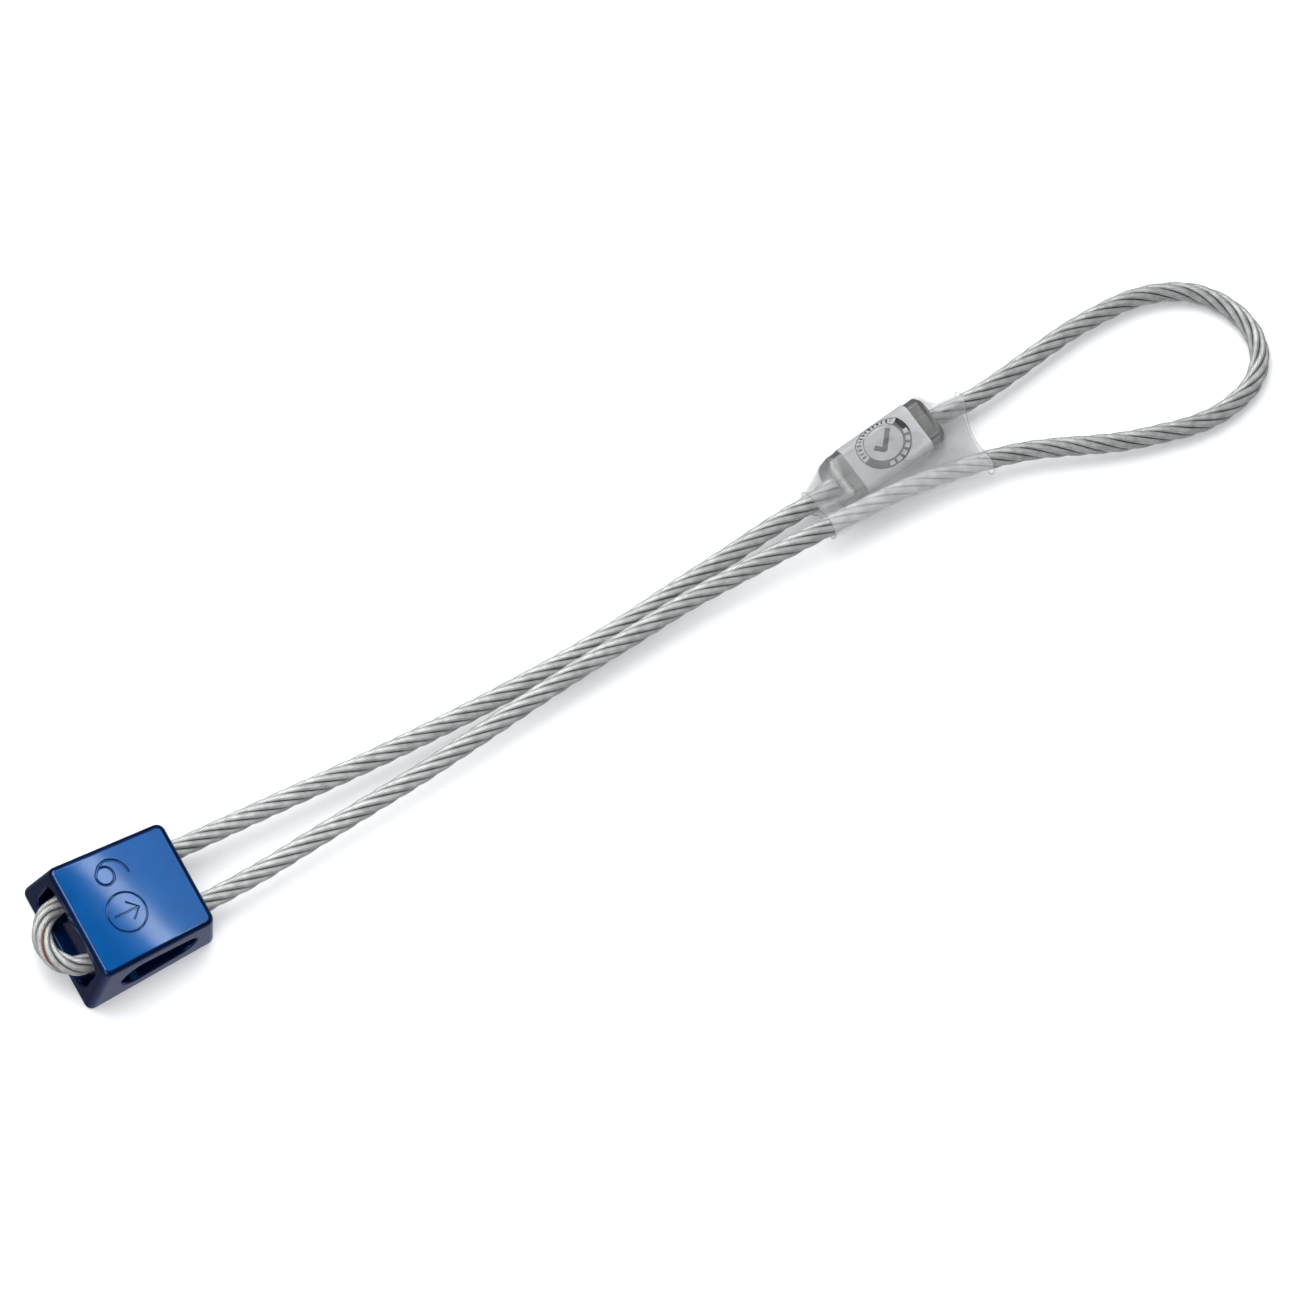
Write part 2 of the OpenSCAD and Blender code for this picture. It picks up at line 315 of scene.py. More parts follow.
def keep(obj, name, domain, values):
    """Keeps a number at each point or face corner of a mesh, for its material."""
    attribute = obj.data.attributes.new(name, "FLOAT", domain)
    attribute.data.foreach_set("value", np.array(values, np.float32))


def tube_faces(rings, sides, closed_ends=True):
    """Quads between the rings of a tube, and its two ends."""
    low = np.arange(rings - 1)[:, None] * sides + np.arange(sides)[None, :]
    near = np.arange(rings - 1)[:, None] * sides + (np.arange(sides)[None, :] + 1) % sides
    quads = np.stack([low, near, near + sides, low + sides], axis=-1).reshape(-1, 4).tolist()
    if closed_ends:
        quads += [list(range(sides))[::-1], list(range((rings - 1) * sides, rings * sides))]
    return quads


def finish_piece(obj, material, body, slot, *nodes):
    """Gives a piece its finish, hangs it on the body it rides on, and hides the parts it stands for."""
    if material:
        obj.data.materials.append(material)
    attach(obj, body)
    if nodes:
        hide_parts(*nodes)
    deselect()
    return obj


# --- materials ---------------------------------------------


class Nodes:
    """A node tree being put together."""

    def __init__(self, tree):
        self.tree = tree

    def add(self, kind, **values):
        node = self.tree.nodes.new(kind)
        for key, value in values.items():
            setattr(node, key, value)
        return node

    def put(self, socket, value):
        if isinstance(value, bpy.types.NodeSocket):
            self.tree.links.new(value, socket)
        else:
            socket.default_value = value

    def span(self, value, from_low, from_high, low, high):
        node = self.add("ShaderNodeMapRange")
        self.put(node.inputs["Value"], value)
        limits = {"From Min": from_low, "From Max": from_high, "To Min": low, "To Max": high}
        for key, number in limits.items():
            node.inputs[key].default_value = number
        return node.outputs[0]

    def math(self, operation, a, b):
        node = self.add("ShaderNodeMath", operation=operation)
        self.put(node.inputs[0], a)
        self.put(node.inputs[1], b)
        return node.outputs[0]


class Finish(Nodes):
    """A material whose patterns lie in the object's own space."""

    def __init__(self, name, **principled):
        self.material = bpy.data.materials.new(name)
        self.material.use_nodes = True
        super().__init__(self.material.node_tree)
        self.shader = self.tree.nodes["Principled BSDF"]
        for key, value in principled.items():
            self.shader.inputs[key.replace("_", " ")].default_value = value
        self.place = self.add("ShaderNodeTexCoord").outputs["Object"]

    def noise(self, scale, detail=3.0, roughness=0.5, stretch=None):
        node = self.add("ShaderNodeTexNoise")
        place = self.place
        if stretch:
            mapping = self.add("ShaderNodeMapping")
            mapping.inputs["Scale"].default_value = stretch
            self.put(mapping.inputs["Vector"], place)
            place = mapping.outputs[0]
        self.put(node.inputs["Vector"], place)
        node.inputs["Scale"].default_value = scale
        node.inputs["Detail"].default_value = detail
        node.inputs["Roughness"].default_value = roughness
        return node.outputs["Fac"]

    def uneven(self, scale, detail, low, high):
        return self.span(self.noise(scale, detail), 0.3, 0.7, low, high)

    def mix(self, share, a, b):
        node = self.add("ShaderNodeMix", data_type="RGBA")
        self.put(node.inputs["Factor"], share)
        for socket, value in ((node.inputs[6], a), (node.inputs[7], b)):
            self.put(socket, value if isinstance(value, bpy.types.NodeSocket) else (*value, 1))
        return node.outputs[2]

    def attribute(self, name):
        return self.add("ShaderNodeAttribute", attribute_name=name).outputs["Fac"]

    def bump(self, height, strength, distance, under=None):
        node = self.add("ShaderNodeBump")
        node.inputs["Strength"].default_value = strength
        node.inputs["Distance"].default_value = distance
        self.put(node.inputs["Height"], height)
        if under is not None:
            self.put(node.inputs["Normal"], under)
        return node.outputs[0]

    def done(self, **sockets):
        for key, value in sockets.items():
            self.put(self.shader.inputs[key.replace("_", " ")], value)
        return self.material


def tinted(base, factor):
    return tuple(min(1, c * factor) for c in base)


def anodised_blue():
    """Dyed anodised metal: a fine matt grain, slight cloudiness in the dyed colour, darker on its rounded
    edges, with painted shade on its flat outer faces other than the front and in its pocket, window, wire
    holes and engraving.
    """
    blue = tuple(sizes("head").blue)
    f = Finish("anodised_blue", Metallic=0.92, IOR=1.5, Specular_Tint=(0.15, 0.32, 0.6, 1),
               Coat_Weight=0.5, Coat_Roughness=0.08, Coat_IOR=1.6)
    cloud = f.span(f.noise(170, 4), 0.35, 0.65, 0, 1)
    dye_and_shade = f.mix(cloud, tinted(blue, 0.92), tinted(blue, 1.1))
    speck = f.span(f.noise(5200, 2), 0.62, 0.75, 0, 0.12)
    dye_and_shade = f.mix(speck, dye_and_shade, tinted(blue, 1.5))
    # darker blue, unevenly, on the rounded edges
    edge_tone = f.math("MULTIPLY", f.attribute("edge"), f.span(f.noise(420, 4), 0.3, 0.7, 0.6, 1))
    dye_and_shade = f.mix(edge_tone, dye_and_shade, (0.006, 0.022, 0.10))
    # painted shade: the flat outer faces other than the front are mixed towards a dark grey-blue
    dye_and_shade = f.mix(f.attribute("side"), dye_and_shade, (0.016, 0.045, 0.08))
    # painted shade: the pocket, window and wire holes, and less so the engraved grooves, are mixed towards
    # a near-black blue
    dye_and_shade = f.mix(f.attribute("deep"), dye_and_shade, (0.001, 0.006, 0.045))
    rough = f.uneven(1300, 4, 0.36, 0.44)
    grain = f.bump(f.noise(7500, 2), 0.12, 0.00002)
    dents = f.bump(f.noise(160, 2), 0.1, 0.00005, grain)
    return f.done(Base_Color=dye_and_shade, Roughness=rough, Normal=dents)


def galvanised_wire():
    """Zinc-coated wires: bright crowns, with painted shade between the wires and deeper painted shade
    between the strands.
    """
    zinc = tuple(sizes("rope").zinc)
    f = Finish("galvanised_wire", Metallic=0.55, IOR=1.5)
    mottling_and_shade = f.mix(f.span(f.noise(700, 5, 0.6), 0.35, 0.65, 0, 1), tinted(zinc, 0.82), tinted(zinc, 1.25))
    bloom = f.span(f.noise(2600, 3), 0.6, 0.75, 0, 0.4)
    mottling_and_shade = f.mix(bloom, mottling_and_shade, (0.62, 0.63, 0.60))
    # painted shade in the grooves between the wires
    groove = f.math("MULTIPLY", f.attribute("groove"), 0.5)
    mottling_and_shade = f.mix(groove, mottling_and_shade, (0.10, 0.105, 0.10))
    # deeper painted shade between the strands, towards the rope's middle
    mottling_and_shade = f.mix(f.attribute("depth"), mottling_and_shade, (0.030, 0.033, 0.031))
    rough = f.uneven(1800, 3, 0.36, 0.54)
    return f.done(Base_Color=mottling_and_shade, Roughness=rough, Normal=f.bump(f.noise(4200, 3), 0.25, 0.00005))


def pressed_metal():
    """Tumbled ferrule metal with fine marks from the pressing die."""
    metal = tuple(sizes("ferrule").metal)
    f = Finish("pressed_ferrule", Metallic=0.85, IOR=1.5)
    tone = f.mix(f.span(f.noise(240, 5), 0.3, 0.7, 0, 1), tinted(metal, 0.62), tinted(metal, 1.2))
    streaks = f.noise(3000, 3, 0.6, (0.06, 1, 1))
    tone = f.mix(f.span(streaks, 0.5, 0.8, 0, 0.5), tone, tinted(metal, 0.45))
    # lighter, unevenly, on the bevels
    edge_tone = f.math("MULTIPLY", f.attribute("edge"), f.span(f.noise(600, 3), 0.35, 0.65, 0.1, 0.6))
    tone = f.mix(edge_tone, tone, (0.45, 0.445, 0.43))
    rough = f.uneven(1500, 4, 0.28, 0.45)
    return f.done(Base_Color=tone, Roughness=rough, Normal=f.bump(streaks, 0.3, 0.00008))


def label_film():
    paper = tuple(sizes("ferrule").paper)
    f = Finish("printed_label", IOR=1.45, Metallic=0.15)
    tone = f.mix(f.span(f.noise(330, 4), 0.35, 0.65, 0, 1), tinted(paper, 0.9), tinted(paper, 1.07))
    rough = f.uneven(2000, 3, 0.34, 0.5)
    return f.done(Base_Color=tone, Roughness=rough, Normal=f.bump(f.noise(800, 4), 0.2, 0.0001))


def label_ink():
    ink = tuple(sizes("ferrule").ink)
    f = Finish("label_ink", IOR=1.45, Specular_IOR_Level=0.2)
    gaps = f.span(f.noise(5200, 4, 0.7), 0.62, 0.76, 0, 0.5)
    tone = f.mix(f.span(f.noise(500, 3), 0.3, 0.7, 0, 1), ink, tinted(ink, 2.1))
    tone = f.mix(gaps, tone, (0.32, 0.33, 0.34))
    rough = f.uneven(1700, 3, 0.38, 0.55)
    return f.done(Base_Color=tone, Roughness=rough, Normal=f.bump(gaps, 0.2, 0.00003))


def clear_film(name, cover, tone):
    """Heat-shrunk film with fine wrinkles and painted shade along its folds. Cover is how milky it is, from
    0, clear, to 1.
    """
    f = Finish(name, IOR=1.5, Alpha=cover, Specular_IOR_Level=0.6, Coat_Weight=0.3, Coat_Roughness=0.06)
    haze_and_fold_shade = f.mix(f.span(f.noise(420, 5), 0.35, 0.7, 0, 1), tinted(tone, 0.85), tinted(tone, 1.1))
    # painted shade: darker lines along the folds
    folds = f.span(f.noise(420, 4, 0.6, (0.35, 1, 1)), 0.6, 0.7, 0, min(0.8, 4 * cover))
    haze_and_fold_shade = f.mix(folds, haze_and_fold_shade, tinted(tone, 0.3))
    rough = f.uneven(900, 4, 0.07, 0.2)
    wrinkle = f.bump(f.noise(520, 4, 0.55, (0.45, 1, 1)), 0.5, 0.00022)
    return f.done(Base_Color=haze_and_fold_shade, Roughness=rough, Normal=wrinkle)


def red_yarn():
    red = tuple(sizes("rope").red)
    f = Finish("red_yarn", Sheen_Weight=0.4, Sheen_Roughness=0.4, Specular_IOR_Level=0.25)
    twist = f.attribute("twist")
    # painted shade in the grooves between the plies and painted light on their crowns
    tone = f.mix(twist, tinted(red, 0.45), tinted(red, 1.35))
    tone = f.mix(f.span(f.noise(5000, 3), 0.5, 0.75, 0, 0.6), tone, (0.42, 0.16, 0.10))
    rough = f.uneven(3000, 3, 0.75, 0.95)
    return f.done(Base_Color=tone, Roughness=rough, Normal=f.bump(twist, 0.6, 0.00008))


def floor_white():
    f = Finish("floor_white", Specular_IOR_Level=0.2)
    tone = f.mix(f.span(f.noise(9, 3), 0.3, 0.7, 0, 1), (0.93, 0.93, 0.93), (0.96, 0.96, 0.96))
    rough = f.uneven(60, 3, 0.8, 0.95)
    return f.done(Base_Color=tone, Roughness=rough, Normal=f.bump(f.noise(900, 3), 0.1, 0.0001))


# --- stage -------------------------------------------------

CAMERA_AT = (-347.676, -209.354, 1333.707)
CAMERA_RIGHT = (0.85004511, -0.48552156, 0.20418649)
CAMERA_UP = (0.42570189, 0.8615887, 0.27648292)
CAMERA_BACK = (-0.3101632, -0.14810038, 0.93907671)
# Each softbox: the point that it faces, the direction from there to it, its distance, roll, sides,
# watts and colour
SOFTBOXES = [
    ("key", (100, 0, 0), (-0.15, 0.45, 0.88), 900, 0, (700, 700), 8, (1, 1, 1)),
    ("fill", (100, 0, 0), (-0.75, -0.35, 0.6), 1100, 0, (900, 900), 3, (0.98, 0.99, 1)),
    ("panel", (13.2, 0, 11), (0.506, 0.151, 0.849), 110, -11, (90, 28), 0.0095, (0.95, 0.98, 1)),
    ("strip", (-3, 0, 12.7), (0.506, 0.151, 0.849), 110, 0, (90, 3.2), 0.011, (0.85, 0.93, 1)),
]

# Strength of the room's light: on the object, in its mirrors, and what the pale floor adds to the mirrors
# at the room's dim and bright ends
ROOM_LIGHT = 0.7
ROOM_MIRROR = 0.025
FLOOR_MIRROR = (0.12, 0.55)
ROOM_TINT = (0.95, 0.97, 1, 1)
# How far the floor lies below the piece, in millimetres
FLOOR_DROP = 0.05


def studio_room():
    """An even room whose reflection is dark above and paler towards the floor and the cable side."""
    world = bpy.data.worlds.new("studio")
    world.use_nodes = True
    f = Nodes(world.node_tree)
    way = f.add("ShaderNodeSeparateXYZ")
    f.put(way.inputs[0], f.add("ShaderNodeTexCoord").outputs["Generated"])
    low = f.span(way.outputs["Z"], 0.1, -0.4, 0, 1)
    pale = f.span(f.math("SUBTRACT", way.outputs["X"], way.outputs["Y"]), -0.6, 0.6, *FLOOR_MIRROR)
    mirror = f.span(f.math("MULTIPLY", low, pale), 0, 1, ROOM_MIRROR, 1)
    glossy = f.add("ShaderNodeLightPath").outputs["Is Glossy Ray"]
    plain = f.span(glossy, 0, 1, ROOM_LIGHT, 0)
    background = f.tree.nodes["Background"]
    f.put(background.inputs["Strength"], f.math("ADD", plain, f.math("MULTIPLY", glossy, mirror)))
    background.inputs["Color"].default_value = ROOM_TINT
    return world


def aim(obj, at, towards, roll):
    """Stands a light at a place, facing a direction and rolled about it by some degrees."""
    obj.location = at
    obj.rotation_mode = "QUATERNION"
    turned = Quaternion((0, 0, 1), math.radians(roll))
    obj.rotation_quaternion = Vector(towards).to_track_quat("-Z", "Y") @ turned


class NUT_OT_stage(bpy.types.Operator):
    """Adds the floor, the softboxes and the camera"""

    bl_idname = "wired_nut.stage"
    bl_label = "Stage"

    def execute(self, context):
        stage = sizes("stage")
        scene = context.scene
        deselect()
        bpy.ops.mesh.primitive_plane_add(size=stage.floor, location=(0, 0, -FLOOR_DROP * MM))
        floor = settle(named("floor"))
        floor.data.materials.append(floor_white())
        floor.visible_glossy = False
        for name, facing, direction, distance, roll, sides, watts, tint in SOFTBOXES:
            deselect()
            bpy.ops.object.light_add(type="AREA")
            light = named("softbox_" + name)
            way = Vector(direction).normalized()
            aim(light, (Vector(facing) + way * distance) * MM, -way, roll)
            light.data.shape = "RECTANGLE"
            light.data.size, light.data.size_y = (s * MM for s in sides)
            light.data.energy = watts
            light.data.color = tint
            light.visible_camera = False
        scene.world = studio_room()
        scene.view_settings.view_transform = "Standard"
        deselect()
        bpy.ops.object.camera_add()
        camera = named("camera")
        camera.data.lens = stage.lens
        camera.data.clip_start, camera.data.clip_end = 0.01, 20
        turn = Matrix((CAMERA_RIGHT, CAMERA_UP, CAMERA_BACK)).transposed().to_4x4()
        camera.matrix_world = Matrix.Translation(Vector(CAMERA_AT) * MM) @ turn
        scene.camera = camera
        deselect()
        return {"FINISHED"}


# --- the rope ----------------------------------------------

OUTER_STRANDS = 6
WIRES = 12
# Across one wire: angles, the strand's radius there as a share of its full radius, and 1 in a groove, where
# the painted shade between the wires goes
WIRE_PROFILE = [(-7, 0.985, 0), (7, 0.985, 0), (15, 0.84, 1)]
# The shade between the strands: its distance from the rope's middle, its depth and its fall-off
SHADE_FROM, SHADE_DEPTH, SHADE_FALL = 1.34, 0.42, 1.4
# The yarn: length of one turn of its plies, how far it lies in its groove, and how it dives beyond a
# distance from the bight's outermost point
PLY_LAY, YARN_SINK = 0.8, 0.1
DIVE_FROM, DIVE = 0.8, 0.08


def unit(vectors):
    return vectors / np.linalg.norm(vectors, axis=1)[:, None]


def line_frames(line):
    """Direction, sideways and upward unit vectors along a line."""
    direction = unit(np.concatenate([line[1:2] - line[:1], line[2:] - line[:-2], line[-1:] - line[-2:-1]]))
    across = unit(np.cross([0, 0, 1], direction))
    return direction, across, np.cross(direction, across)


def wound(line, along, distance, phase, lay, ring, twist):
    """Rings of points, in millimetres, of a strand wound round a line.

    ring is a list of angles and radii, and twist is how far the ring turns per millimetre.
    """
    direction, across, up = line_frames(line)
    turn = (math.radians(phase) + 2 * math.pi * along / lay)[:, None]
    out = np.cos(turn) * across + np.sin(turn) * up
    round_ = np.cos(turn) * up - np.sin(turn) * across
    ahead = unit(direction + 2 * math.pi * distance / lay * round_)
    flank = np.cross(ahead, out)
    angles = np.radians([a for a, _ in ring])[None, :] - twist * along[:, None]
    radii = np.array([r for _, r in ring])[None, :, None]
    spokes = np.cos(angles)[..., None] * out[:, None] + np.sin(angles)[..., None] * flank[:, None]
    return (line + distance * out)[:, None] + radii * spokes


def strand_piece(name, phase, distance, radius, lay, wire_lay):
    """A strand of twelve outer wires, with how deep each point lies in a groove kept on it for the painted
    shade.
    """
    step = 360 / WIRES
    ring = [(w * step + a, radius * share) for w in range(WIRES) for a, share, _ in WIRE_PROFILE]
    valley = np.array([v for _ in range(WIRES) for _, _, v in WIRE_PROFILE], float)
    points = wound(LINE, ALONG, distance, phase, lay, ring, 2 * math.pi / wire_lay)
    from_middle = np.linalg.norm(points - LINE[:, None], axis=2)
    obj = mesh_piece(name, points.reshape(-1, 3) * MM, tube_faces(len(LINE), len(ring)))
    depth = np.clip((SHADE_FROM - from_middle) / SHADE_DEPTH, 0, 1) ** SHADE_FALL
    # groove and depth carry the painted shade between the wires and between the strands
    keep(obj, "groove", "POINT", np.tile(valley, len(LINE)))
    keep(obj, "depth", "POINT", depth.ravel())
    obj.data.shade_smooth()
    return outward(obj)


class NUT_OT_rope(bpy.types.Operator):
    """Adds the rope's core, its six outer strands and the marker yarn"""

    bl_idname = "wired_nut.rope"
    bl_label = "Wire rope"

    def execute(self, context):
        rope = sizes("rope")
        lay, wire_lay, diameter = rope.lay / MM, rope.wire_lay / MM, rope.diameter / MM
        metal = galvanised_wire()
        for k in range(OUTER_STRANDS + 1):
            name = f"outer_strand_{k}" if k else "core_strand"
            distance = diameter / 3 if k else 0
            winding = wire_lay if k else lay
            obj = strand_piece(name, 360 * k / OUTER_STRANDS, distance, rope.strand / MM / 2, lay, winding)
            obj.name = "wire_" + name
            finish_piece(obj, metal, "sling", "galvanised_wire", name)
        yarn = self.yarn(rope, lay, diameter)
        return {"FINISHED"}

    def yarn(self, rope, lay, diameter):
        """A two-ply yarn between two outer strands, proud of them only at the bight's outermost point."""
        inside = LINE[:, 0] < LEG_TURN[0] - 0.5
        line = smooth_line(LINE[inside], 0.15)
        start = ALONG[np.argmax(inside)]
        along = start + distances(line)
        radius = rope.yarn / MM / 2
        sides = 12
        ply = [abs(math.cos(math.pi * 2 * a / sides)) for a in range(sides)]
        ring = [(360 * a / sides, radius * (0.86 + 0.14 * proud)) for a, proud in enumerate(ply)]
        dive = DIVE * np.clip(np.abs(line[:, 1:2]) - DIVE_FROM, 0, None) ** 2
        distance = diameter / 3 * math.cos(math.pi / OUTER_STRANDS) + diameter / 6 - YARN_SINK - dive
        points = wound(line, along, distance, 180 / OUTER_STRANDS, lay, ring, 2 * math.pi / PLY_LAY)
        obj = mesh_piece("marker_yarn_ply", points.reshape(-1, 3) * MM, tube_faces(len(line), sides))
        # twist: how far each point lies on a ply's crown, for the yarn's painted shade and light
        keep(obj, "twist", "POINT", np.tile(ply, len(line)))
        obj.data.shade_smooth()
        return finish_piece(outward(obj), red_yarn(), "sling", "red_yarn", "marker_yarn")


# --- the head ----------------------------------------------

# In millimetres. The side window's two ends: where along the head, and the radius there
WINDOW = ((-2.74, 3.36), (4.62, 2.48))
WINDOW_SINK = 0.3
POCKET_WIDTH, POCKET_HEIGHT, POCKET_CORNER, POCKET_DEPTH = 14.8, 9, 2, 2.3
LEG_HOLE_RADIUS = 2.3
FOOT_ROUND = 0.45


def head_taper(head):
    return (head.back_width - head.back_width_end) / 2 / head.back_length


def head_side(head, x, z):
    """Half the head's width at a place along it and a height."""
    middle_half = (head.back_width + head.back_width_end) / 4
    return middle_half - head_taper(head) * x - head.side_lean / head.thick * z


def front_height(head, x):
    return (head.thick + head.thin) / 2 - (head.thick - head.thin) / head.front_length * x


def wedge(head):
    """The head's outside: a block whose corners are moved, with rounded corners and rims."""
    deselect()
    bpy.ops.mesh.primitive_cube_add(size=1, location=(0, 0, 0.5), scale=(1, 1, 1))
    obj = settle(named("nut_head"))
    edit()
    for end in (-1, 1):
        for level in (0, 1):
            x = end * (head.front_length if level else head.back_length) / 2
            z = (head.thin if end > 0 else head.thick) if level else 0
            for side in (-1, 1):
                corner = Vector((end * 0.5, side * 0.5, level))
                pick("verts", lambda v: (v.co - corner).length < 0.01)
                place = Vector((x, side * head_side(head, x, z), z))
                bpy.ops.transform.translate(value=place - corner)
    pick("edges", lambda e: abs(e.verts[0].co.z - e.verts[1].co.z) > head.thin / 2)
    round_edges(head.corner_round, 6)
    pick("edges", lambda e: all(abs(v.co.z - front_height(head, v.co.x)) < 0.02 * MM for v in e.verts))
    round_edges(head.rim_round, 4)
    pick("edges", lambda e: all(v.co.z < 0.01 * MM for v in e.verts))
    round_edges(FOOT_ROUND * MM, 3)
    leave()
    return obj


def outline_cutter(name, outline, rings):
    """A closed cutter lofted through rings. Each ring grows the outline and places its points."""
    points = [place(x, z) for grown, place in rings for x, z in grown_outline(outline, grown)]
    return outward(mesh_piece(name, points, tube_faces(len(rings), len(outline))))


def grown_outline(outline, margin):
    """An outline moved outwards by a margin. Its points run anticlockwise."""
    pts = np.array(outline)
    chords = unit(np.roll(pts, -1, axis=0) - np.roll(pts, 1, axis=0))
    return pts + margin * np.stack([chords[:, 1], -chords[:, 0]], axis=1)


def arc(centre, radius, start, end, steps):
    """Points round part of a circle."""
    angles = [start + (end - start) * i / steps for i in range(steps + 1)]
    return [(centre[0] + radius * math.cos(a), centre[1] + radius * math.sin(a)) for a in angles]


def tapered_slot(start, start_r, end, end_r, steps=18):
    """The outline round two circles, as points in X and Z."""
    run = Vector(end) - Vector(start)
    tilt = math.atan2(run[1], run[0])
    touch = math.acos((start_r - end_r) / run.length)
    return arc(end, end_r, tilt - touch, tilt + touch, steps) + arc(
        start, start_r, tilt + touch, tilt + 2 * math.pi - touch, steps
    )


def window_cutter(head):
    """The side window, with a small countersink at both of its mouths."""
    (start, start_r), (end, end_r) = ((x * MM, r * MM) for x, r in WINDOW)
    outline = tapered_slot(
        (start, front_height(head, start) / 2), start_r, (end, front_height(head, end) / 2), end_r
    )
    sink = WINDOW_SINK * MM

    def ring(grown, side, out):
        return grown, lambda x, z: (x, side * (head_side(head, x, z) + out), z)

    steps = [(0.6 * sink + 1 * MM, 1 * MM), (0.9 * sink, 0), (0.3 * sink, -0.5 * sink), (0, -1.1 * sink)]
    rings = [ring(grown, 1, out) for grown, out in steps]
    rings += [ring(grown, -1, out) for grown, out in steps[::-1]]
    return outline_cutter("window_cutter", outline, rings)


def rounded_box(width, height, radius, steps=8):
    """Anticlockwise outline of a rectangle with round corners."""
    points = []
    for quarter, (i, j) in enumerate(((1, 1), (-1, 1), (-1, -1), (1, -1))):
        centre = (i * (width / 2 - radius), j * (height / 2 - radius))
        points += arc(centre, radius, math.pi / 2 * quarter, math.pi / 2 * (quarter + 1), steps)
    return points


def pocket_cutter(head):
    """The end pocket for the bight, with a rounded mouth."""
    outline = rounded_box(POCKET_WIDTH * MM, POCKET_HEIGHT * MM, POCKET_CORNER * MM)
    lean = (head.back_length - head.front_length) / 2 / head.thick
    mid = head.thick / 2
    bottom = -(head.back_length + head.front_length) / 4 + POCKET_DEPTH * MM

    def ring(grown, into):
        return grown, lambda y, z: (-head.back_length / 2 + lean * (z + mid) + into, -y, z + mid)

    rings = [
        ring(1.2 * MM, -1 * MM),
        ring(0.3 * MM, 0),
        ring(0.09 * MM, 0.16 * MM),
        ring(0, 0.36 * MM),
        (0, lambda y, z: (bottom, -y, z + mid)),
    ]
    return outline_cutter("pocket_cutter", outline, rings)


def leg_cutter(side):
    """A wire hole along one leg of the rope."""
    start, end = (Vector((p[0], side * p[1], p[2])) for p in (LEG_IN, LEG_TURN))
    run = end - start
    deselect()
    bpy.ops.mesh.primitive_cylinder_add(vertices=40, radius=LEG_HOLE_RADIUS * MM, depth=60 * MM)
    obj = named("leg_cutter")
    obj.rotation_mode = "QUATERNION"
    obj.rotation_quaternion = run.to_track_quat("Z", "Y")
    obj.location = start * MM
    return settle(obj)


# Engraving: the size number and a plain load-direction sign, as strokes in millimetres on the front face
SIX_BOWL = ((-2.2, 4.65), 1.42)
SIX_STEM = [(-3.3, 5.5), (-2.55, 6.3), (-1.4, 6.72), (-0.1, 6.45), (0.95, 5.5), (1.4, 4.2), (1.42, 3.7)]
SIGN_RING = ((-1.9, -1.6), 3.1)
SIGN_STROKES = [
    [(-4.0, -1.6), (0.2, -1.6)],
    [(-1.4, -3.1), (0.2, -1.6), (-1.4, -0.1)],
]


def stroke_cutter(head, points, closed, width):
    """A round groove cutter that follows a stroke on the front face."""
    line = [Vector((x * MM, y * MM, front_height(head, x * MM) + 0.10 * width)) for x, y in points]
    data = bpy.data.curves.new("stroke", "CURVE")
    data.dimensions = "3D"
    spline = data.splines.new("POLY")
    spline.points.add(len(line) - 1)
    for p, v in zip(spline.points, line):
        p.co = (*v, 1)
    spline.use_cyclic_u = closed
    data.bevel_depth = width / 2
    data.bevel_resolution = 3
    data.use_fill_caps = True
    obj = bpy.data.objects.new("stroke", data)
    bpy.context.scene.collection.objects.link(obj)
    only(obj)
    bpy.ops.object.convert(target="MESH")
    return outward(bpy.context.object)


def circle(centre, radius, count=48):
    return arc(centre, radius, 0, 2 * math.pi, count)[:-1]


def through(points, step):
    """A smooth stroke through flat points."""
    flat = np.array([(x, y, 0) for x, y in points], float)
    return [(x, y) for x, y, _ in smooth_line(flat, step)]


def mark_faces(obj, head):
    """Keeps on each face corner how far it is a rounded edge, a side, or inside a cavity or groove; the
    side and cavity marks carry painted shade.
    """
    front = Vector((head.thick - head.thin, 0, head.front_length)).normalized()
    edge, side, deep = [], [], []
    for face in obj.data.polygons:
        n = face.normal
        on_front = n.dot(front) > 0.995
        on_flat = on_front or max(abs(n.x), abs(n.y)) > 0.985 or n.z < -0.995
        x, y, z = face.center
        skin = 1.3 * MM
        reach = (head.back_length - (head.back_length - head.front_length) * z / head.thin) / 2
        outer = abs(y) > head_side(head, x, z) - skin or abs(x) > reach - skin / 2 or z < skin / 3
        engraved = z > front_height(head, x) - skin / 2
        edge += [float(outer and not on_flat)] * face.loop_total
        # side: painted shade on the flat outer faces other than the front
        side += [0.75 if outer and on_flat and not on_front else 0] * face.loop_total
        # deep: painted shade in the cavities, and less in the engraved grooves
        deep += [0 if on_front or outer else 0.5 if engraved else 0.9] * face.loop_total
    for key, values in (("edge", edge), ("side", side), ("deep", deep)):
        keep(obj, key, "CORNER", values)


